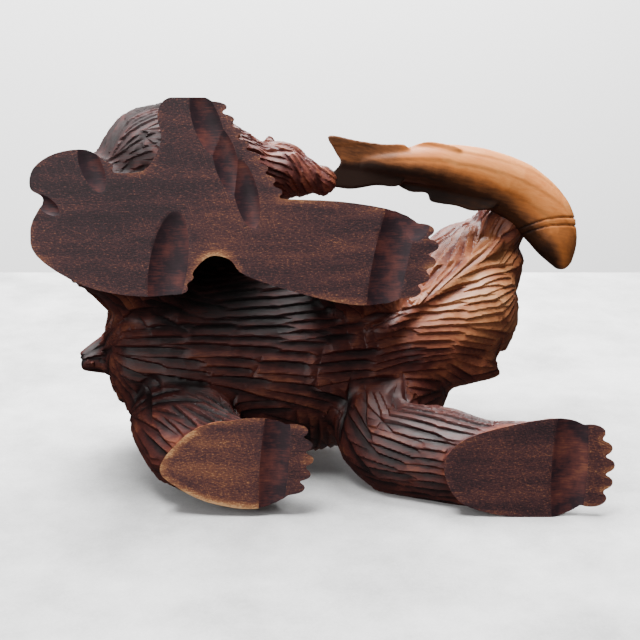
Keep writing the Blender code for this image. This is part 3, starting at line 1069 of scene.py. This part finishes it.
# The scratches run three ways. Each way has its turn in degrees and its length.
SCRATCHES = ((24, 26), (-37, 18), (71, 22))
SCRATCH_WIDTH = 0.45
scratches = []
for turn, length in SCRATCHES:
    way = node(
        tree,
        "ShaderNodeMapping",
        {
            "Vector": where,
            "Rotation": (0, 0, math.radians(turn)),
            "Scale": (length * MM, SCRATCH_WIDTH * MM, 1),
        },
        vector_type="TEXTURE",
    )
    lines = node(
        tree,
        "ShaderNodeTexNoise",
        {"Vector": way.outputs[0], "Scale": 1.0, "Detail": 0.0},
    )
    scratches.append(
        node(
            tree,
            "ShaderNodeMapRange",
            {"Value": lines.outputs[0], "From Min": 0.66, "From Max": 0.76},
        ).outputs[0]
    )
rim_near = node(tree, "ShaderNodeAttribute", attribute_name="rim").outputs["Fac"]
rubbed = node(
    tree,
    "ShaderNodeMapRange",
    {"Value": rim_near, "From Min": 0.2, "From Max": 4.5, "To Min": 1.0, "To Max": 0.0},
)
worn = node(tree, "ShaderNodeAttribute", attribute_name="worn").outputs["Fac"]
# The coat's darker patches where they reach the soles: darker stain, and painted shade in
# hollows.
dark_stain_and_shade = node(tree, "ShaderNodeAttribute", attribute_name="dark_stain_and_shade").outputs["Fac"]
patchy_rub = node(
    tree,
    "ShaderNodeMath",
    {
        0: rubbed.outputs[0],
        1: weighed(tree, 0.1, (rings.outputs[0], 1.2, 0.5), (worn, 0.8, 0.0)),
    },
    operation="MULTIPLY",
)
tone = weighed(
    tree,
    0.35,
    (rings.outputs[0], 0.70, 0.5),
    (fibres.outputs[0], 0.85, 0.5),
    (flecks.outputs[0], 0.50, 0.5),
    (fleck_spots.outputs[0], 0.22, 0.1),
    (scratches[0], 0.13, 0.0),
    (scratches[1], 0.10, 0.0),
    (scratches[2], 0.13, 0.0),
    (patchy_rub.outputs[0], 0.8, 0.0),
    (worn, 0.24, 0.0),
    (dark_stain_and_shade, -0.14, 0.0),
)
colour = node(
    tree,
    "ShaderNodeValToRGB",
    {"Fac": tone},
    stops=[
        (0.0, ink("#120a0c")),
        (0.25, ink("#2b171c")),
        (0.45, ink("#492727")),
        (0.65, ink("#70412e")),
        (0.85, ink("#966540")),
        (1.0, ink("#bd9062")),
    ],
)
fine = node(
    tree,
    "ShaderNodeBump",
    {"Height": fibres.outputs[0], "Strength": 0.6, "Distance": 0.3 * MM},
)
feed(
    tree,
    shader,
    Base_Color=colour.outputs[0],
    Roughness=0.6,
    Specular_IOR_Level=0.4,
    Normal=fine.outputs[0],
)

# Gouged and stained wood. The gouge leaves it smooth and closed, so the stain lies evenly on
# it, darker and bluer than on the sawn wood round it. Its grain too is drawn coarser than real.
tree, shader = fresh_tree(scoop_wood)
where = node(tree, "ShaderNodeTexCoord").outputs["Object"]
along_grain = node(
    tree,
    "ShaderNodeMapping",
    {"Vector": where, "Scale": (1 / (6 * MM), 1 / (0.8 * MM), 1 / (4 * MM))},
)
grain = node(
    tree,
    "ShaderNodeTexNoise",
    {"Vector": along_grain.outputs[0], "Scale": 1.0, "Detail": 5.0, "Roughness": 0.65},
)
mottle = node(
    tree,
    "ShaderNodeTexNoise",
    {"Vector": where, "Scale": 1 / (14 * MM), "Detail": 3.0, "Roughness": 0.6},
)
worn = node(tree, "ShaderNodeAttribute", attribute_name="worn").outputs["Fac"]
tone = weighed(
    tree,
    0.36,
    (grain.outputs[0], 0.6, 0.5),
    (mottle.outputs[0], 1.1, 0.5),
    (worn, 0.3, 0.0),
)
colour = node(
    tree,
    "ShaderNodeValToRGB",
    {"Fac": tone},
    stops=[
        (0.0, ink("#120b10")),
        (0.35, ink("#2a191f")),
        (0.6, ink("#562c28")),
        (1.0, ink("#8a5238")),
    ],
)
fine = node(
    tree,
    "ShaderNodeBump",
    {"Height": grain.outputs[0], "Strength": 0.3, "Distance": 0.2 * MM},
)
feed(
    tree,
    shader,
    Base_Color=colour.outputs[0],
    Roughness=0.55,
    Specular_IOR_Level=0.3,
    Normal=fine.outputs[0],
)

# The salmon, of the same block, lies crosswise in the bear's mouth with its tail in the cub's.
# It is shaved smooth with a knife and waxed clear, so that it stands out pale.

SALMON = [
    (22, -106, 74, 8, 8.5, 6),
    (34, -106, 76, 8, 8.5, 6.5),
    (47, -105.5, 80, 10, 10.5, 8),
    (63, -105, 84, 12, 13, 9.5),
    (80, -102.5, 89, 14, 15.5, 11.5),
    (97, -98, 93, 16, 17.5, 12.5),
    (117, -89, 98, 18, 19, 13),
    (133, -75, 100, 18, 18.5, 13),
    (141, -61, 100, 14, 15, 11.5),
    (145, -50, 100, 7.5, 9, 8.5),
]
SALMON_TAIL = [
    (50, -116), (34, -118), (20, -120), (2, -123), (6, -113), (9, -107),
    (4, -101), (-2, -95), (14, -91), (30, -93), (46, -94),
]  # fmt: skip
SALMON_BACK_FIN = [
    (44, -97), (50, -89.5), (61, -88.5), (64, -83), (79, -80.5), (90, -77.5),
    (104, -81), (94, -95),
]  # fmt: skip
SALMON_BELLY_FIN = [(44, -111), (54, -118), (66, -119.5), (82, -114)]
SALMON_VOXEL = 0.8 * COARSE
SALMON_ROUNDS = 5

SHAVE_SPACING = 9.0
SHAVE_LENGTH = 46.0
SHAVE_DEPTH = 0.55

salmon = Shell()
salmon.sweep(SALMON, steps=8)
salmon.slab(SALMON_TAIL, 63, 70, slope=0.25)
salmon.slab(SALMON_BACK_FIN, 80, 87, taper=0.95, slope=0.05)
salmon.slab(SALMON_BELLY_FIN, 76, 83, taper=0.9, slope=0.05)
salmon_mesh = fused(salmon, "salmon", SALMON_VOXEL, SALMON_ROUNDS)

_, _, shave_shade = gouged(
    salmon_mesh,
    np.array(salmon.lie),
    SHAVE_SPACING,
    SHAVE_LENGTH,
    SHAVE_DEPTH,
    lambda place: 1.0,
    3,
)

# Two knife cuts round the gill cover and one for the mouth, darkened as painted shade in the
# cut.
SNOUT = np.array((140, -45, 100))
GILL_REACHES = (27.0, 31.0)
MOUTH_HEIGHT, MOUTH_REACH = 98.5, 17.0
CUT_HALF_WIDTH = 0.6
CUT_DEPTH = 0.9
CUT_PAINTED_SHADE = 3

fish_places = corners_of(salmon_mesh) / MM
fish_normals = corners_of(salmon_mesh, "normal")
from_snout = np.linalg.norm(fish_places - SNOUT, axis=1)
knife = np.zeros(len(fish_places))
for reach in GILL_REACHES:
    knife = np.maximum(knife, 1 - np.abs(from_snout - reach) / CUT_HALF_WIDTH)
mouth = 1 - np.abs(fish_places[:, 2] - MOUTH_HEIGHT) / CUT_HALF_WIDTH
knife = np.maximum(knife, np.where(from_snout < MOUTH_REACH, mouth, 0))
knife = np.clip(knife, 0, 1)
fish_places -= fish_normals * (knife * CUT_DEPTH)[:, None]
salmon_mesh.vertices.foreach_set("co", (fish_places * MM).ravel())

# Each corner keeps how far it is on the side towards the bear, how far along the salmon it is,
# and which shaving it is in, less a painted shade in the knife cuts.
SPINE_STEPS = 10
spine_length = SPINE_STEPS * (len(SALMON) - 1) + 1
spine = np.array([through(SALMON, k / SPINE_STEPS) for k in range(spine_length)])
spine_tree = tree_of(spine[:, :3])
ahead = np.gradient(spine[:, :2], axis=0)
ahead /= np.linalg.norm(ahead, axis=1, keepdims=True)
nearest = np.array([spine_tree.find(p)[1] for p in fish_places])
off_spine = fish_places[:, :2] - spine[nearest, :2]
inward = off_spine[:, 1] * ahead[nearest, 0] - off_spine[:, 0] * ahead[nearest, 1]
keep(salmon_mesh, "inner", np.clip(0.5 + inward / spine[nearest, 4], 0, 1.2))
keep(salmon_mesh, "along", nearest / len(spine))
keep(salmon_mesh, "stroke", shave_shade - knife * CUT_PAINTED_SHADE)
seat(salmon_mesh)
salmon_mesh.shade_smooth()

fish = shown("salmon", salmon_mesh)
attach(fish, "root")

# Clear-waxed wood of the salmon: bare honey-brown wood under wax, with long darker streaks. The
# stain of the coat runs over its tail; its inner side is darkened partly by that stain and
# partly as painted shade.
salmon_wood = bpy.data.materials.new("clear_waxed_wood")
salmon_mesh.materials.clear()
salmon_mesh.materials.append(salmon_wood)
tree, shader = fresh_tree(salmon_wood)
where = node(tree, "ShaderNodeTexCoord").outputs["Object"]
along_grain = node(
    tree,
    "ShaderNodeMapping",
    {
        "Vector": where,
        "Rotation": (0, 0, math.radians(14)),
        "Scale": (26 * MM, 1.6 * MM, 1.6 * MM),
    },
    vector_type="TEXTURE",
)
grain = node(
    tree,
    "ShaderNodeTexNoise",
    {"Vector": along_grain.outputs[0], "Scale": 1.0, "Detail": 6.0, "Roughness": 0.65},
)
mottle = node(
    tree,
    "ShaderNodeTexNoise",
    {"Vector": where, "Scale": 1 / (16 * MM), "Detail": 4.0, "Roughness": 0.6},
)
inner = node(tree, "ShaderNodeAttribute", attribute_name="inner").outputs["Fac"]
along = node(tree, "ShaderNodeAttribute", attribute_name="along").outputs["Fac"]
shaving = node(tree, "ShaderNodeAttribute", attribute_name="stroke").outputs["Fac"]
tail_stain = node(
    tree,
    "ShaderNodeMapRange",
    {"Value": along, "From Min": 0.05, "From Max": 0.42, "To Min": 1.0, "To Max": 0.0},
)
head_stain = node(
    tree,
    "ShaderNodeMapRange",
    {"Value": along, "From Min": 0.78, "From Max": 0.9},
)
# Darker on the side towards the bear: partly the coat's stain, partly painted shade.
ragged = weighed(
    tree, 0.5, (inner, 1.0, 0.5), (mottle.outputs[0], 0.8, 0.5), (along, -0.35, 0.5)
)
stain_and_shade_edge = node(
    tree,
    "ShaderNodeMapRange",
    {"Value": ragged, "From Min": 0.40, "From Max": 1.25},
)
tone = weighed(
    tree,
    0.82,
    (grain.outputs[0], 0.40, 0.5),
    (mottle.outputs[0], 0.26, 0.5),
    (shaving, 0.10, 0.5),
    (stain_and_shade_edge.outputs[0], -0.85, 0.0),
    (tail_stain.outputs[0], -0.48, 0.0),
    (head_stain.outputs[0], -0.16, 0.0),
)
colour = node(
    tree,
    "ShaderNodeValToRGB",
    {"Fac": tone},
    stops=[
        (0.0, ink("#22120a")),
        (0.22, ink("#40230f")),
        (0.45, ink("#7c4a28")),
        (0.70, ink("#b4692f")),
        (1.0, ink("#cf8a4c")),
    ],
)
fine = node(
    tree,
    "ShaderNodeBump",
    {"Height": grain.outputs[0], "Strength": 0.25, "Distance": 0.2 * MM},
)
feed(
    tree,
    shader,
    Base_Color=colour.outputs[0],
    Roughness=0.5,
    Specular_IOR_Level=0.35,
    Normal=fine.outputs[0],
)

# The camera looks at the soles from a little above the floor that the group lies on, so the
# picture's right is +X and its top is -Y. Its lens is given in the picture's pixels.

AIM = Vector((-2.75, -20.9, 0)) * MM + to_frame
AWAY = 850 * MM
PITCH = math.radians(6)
PIXELS = 640
FOCAL_PIXELS = 1545

camera_data = bpy.data.cameras.new("camera")
camera_data.sensor_width = 36
camera_data.lens = FOCAL_PIXELS / PIXELS * camera_data.sensor_width
camera_data.clip_start = 0.05
camera_data.clip_end = 20
camera = bpy.data.objects.new("camera", camera_data)
bpy.context.scene.collection.objects.link(camera)
look = Vector((0, math.sin(PITCH), math.cos(PITCH)))
up = Vector((0, -math.cos(PITCH), math.sin(PITCH)))
place = Matrix((look.cross(up), up, -look)).transposed().to_4x4()
place.translation = AIM - look * AWAY
camera.matrix_world = place
bpy.context.scene.camera = camera

# The studio. A pale floor that the group lies on, a pale wall behind it, and a floor under its
# soles for the views that stand it up, all of painted concrete and plaster. Each shows from its
# front only, and none throws shade, sheen or light back on the group.

# The lying floor leans as the group does on its side, and touches it at this height.
LEAN = math.radians(10.7)
REST_Y = 116 * MM
WALL_AWAY = 1370 * MM
FLOOR_HALF = 3.0
FLOOR_DROP = 0.5 * MM


def sheet(name, corners, material):
    """One flat face of the studio."""
    mesh = bpy.data.meshes.new(name)
    mesh.from_pydata(corners, [], [tuple(range(len(corners)))])
    mesh.materials.append(material)
    obj = shown(name, mesh)
    obj.visible_shadow = False
    obj.visible_glossy = False
    obj.visible_diffuse = False


def one_sided(name, low, high, speck):
    """A matt pale finish, clear from behind; its grit is drawn coarser than real."""
    material = bpy.data.materials.new(name)
    tree, shader = fresh_tree(material)
    where = node(tree, "ShaderNodeTexCoord").outputs["Object"]
    cloud = node(
        tree,
        "ShaderNodeTexNoise",
        {"Vector": where, "Scale": 1 / speck, "Detail": 8.0, "Roughness": 0.65},
    )
    grit = node(
        tree,
        "ShaderNodeTexNoise",
        {"Vector": where, "Scale": 1 / (1.5 * MM), "Detail": 3.0, "Roughness": 0.6},
    )
    tone = weighed(tree, 0.5, (cloud.outputs[0], 1.0, 0.5), (grit.outputs[0], 0.25, 0.5))
    colour = node(
        tree,
        "ShaderNodeValToRGB",
        {"Fac": tone},
        stops=[(0.3, ink(low)), (0.7, ink(high))],
    )
    feed(tree, shader, Base_Color=colour.outputs[0], Roughness=0.6)
    back = node(tree, "ShaderNodeNewGeometry").outputs["Backfacing"]
    clear = node(tree, "ShaderNodeBsdfTransparent")
    both = node(
        tree,
        "ShaderNodeMixShader",
        {0: back, 1: shader.outputs[0], 2: clear.outputs[0]},
    )
    out = next(n for n in tree.nodes if n.type == "OUTPUT_MATERIAL")
    tree.links.new(both.outputs[0], out.inputs["Surface"])
    return material


painted_floor = one_sided("painted_concrete", "#aaaaaa", "#d8d8d8", 0.06)
painted_wall = one_sided("painted_wall", "#f4f4f4", "#f8f8f8", 0.4)
fall = math.tan(LEAN)
wall_z = WALL_AWAY - AWAY
near_z, near_side = -0.2, 0.22
wall_side, wall_top = 0.36, -0.36
near_y, wall_foot = REST_Y - fall * near_z, REST_Y - fall * wall_z
sheet(
    "lying floor",
    [
        (-near_side, near_y, near_z),
        (near_side, near_y, near_z),
        (wall_side, wall_foot, wall_z),
        (-wall_side, wall_foot, wall_z),
    ],
    painted_floor,
)
sheet(
    "wall",
    [
        (-wall_side, wall_foot, wall_z),
        (wall_side, wall_foot, wall_z),
        (wall_side, wall_top, wall_z),
        (-wall_side, wall_top, wall_z),
    ],
    painted_wall,
)
sheet(
    "standing floor",
    [
        (-FLOOR_HALF, -FLOOR_HALF, -FLOOR_DROP),
        (FLOOR_HALF, -FLOOR_HALF, -FLOOR_DROP),
        (FLOOR_HALF, FLOOR_HALF, -FLOOR_DROP),
        (-FLOOR_HALF, FLOOR_HALF, -FLOOR_DROP),
    ],
    painted_floor,
)


def lamp(name, place, size, watts, aim=(0, 0, 0.05)):
    """A square soft light that faces the group."""
    data = bpy.data.lights.new(name, "AREA")
    data.size = size
    data.energy = watts
    obj = bpy.data.objects.new(name, data)
    obj.location = place
    obj.rotation_euler = (Vector(place) - Vector(aim)).to_track_quat("Z", "Y").to_euler()
    bpy.context.scene.collection.objects.link(obj)


lamp("key", (-0.30, -1.4, -0.40), 0.6, 50)
lamp("fill", (-0.6, -0.3, -1.0), 0.8, 8)
lamp("top", (0.2, -0.5, 1.3), 0.8, 16)
lamp("wall wash", (0, -1.0, 0.3), 0.8, 62, aim=(0, -0.5, 0.6))

# The room's soft light reaches every side, but is too dim to show as a sheen on the wax.
ROOM_LIGHT, ROOM_SHEEN = 0.23, 0.07
world = bpy.data.worlds.new("soft room")
bpy.context.scene.world = world
world.use_nodes = True
tree = world.node_tree
room = tree.nodes["Background"]
in_sheen = node(tree, "ShaderNodeLightPath").outputs["Is Glossy Ray"]
dimmed = node(
    tree,
    "ShaderNodeMapRange",
    {"Value": in_sheen, "To Min": ROOM_LIGHT, "To Max": ROOM_SHEEN},
)
room.inputs["Color"].default_value = (1, 1, 1, 1)
tree.links.new(dimmed.outputs[0], room.inputs["Strength"])
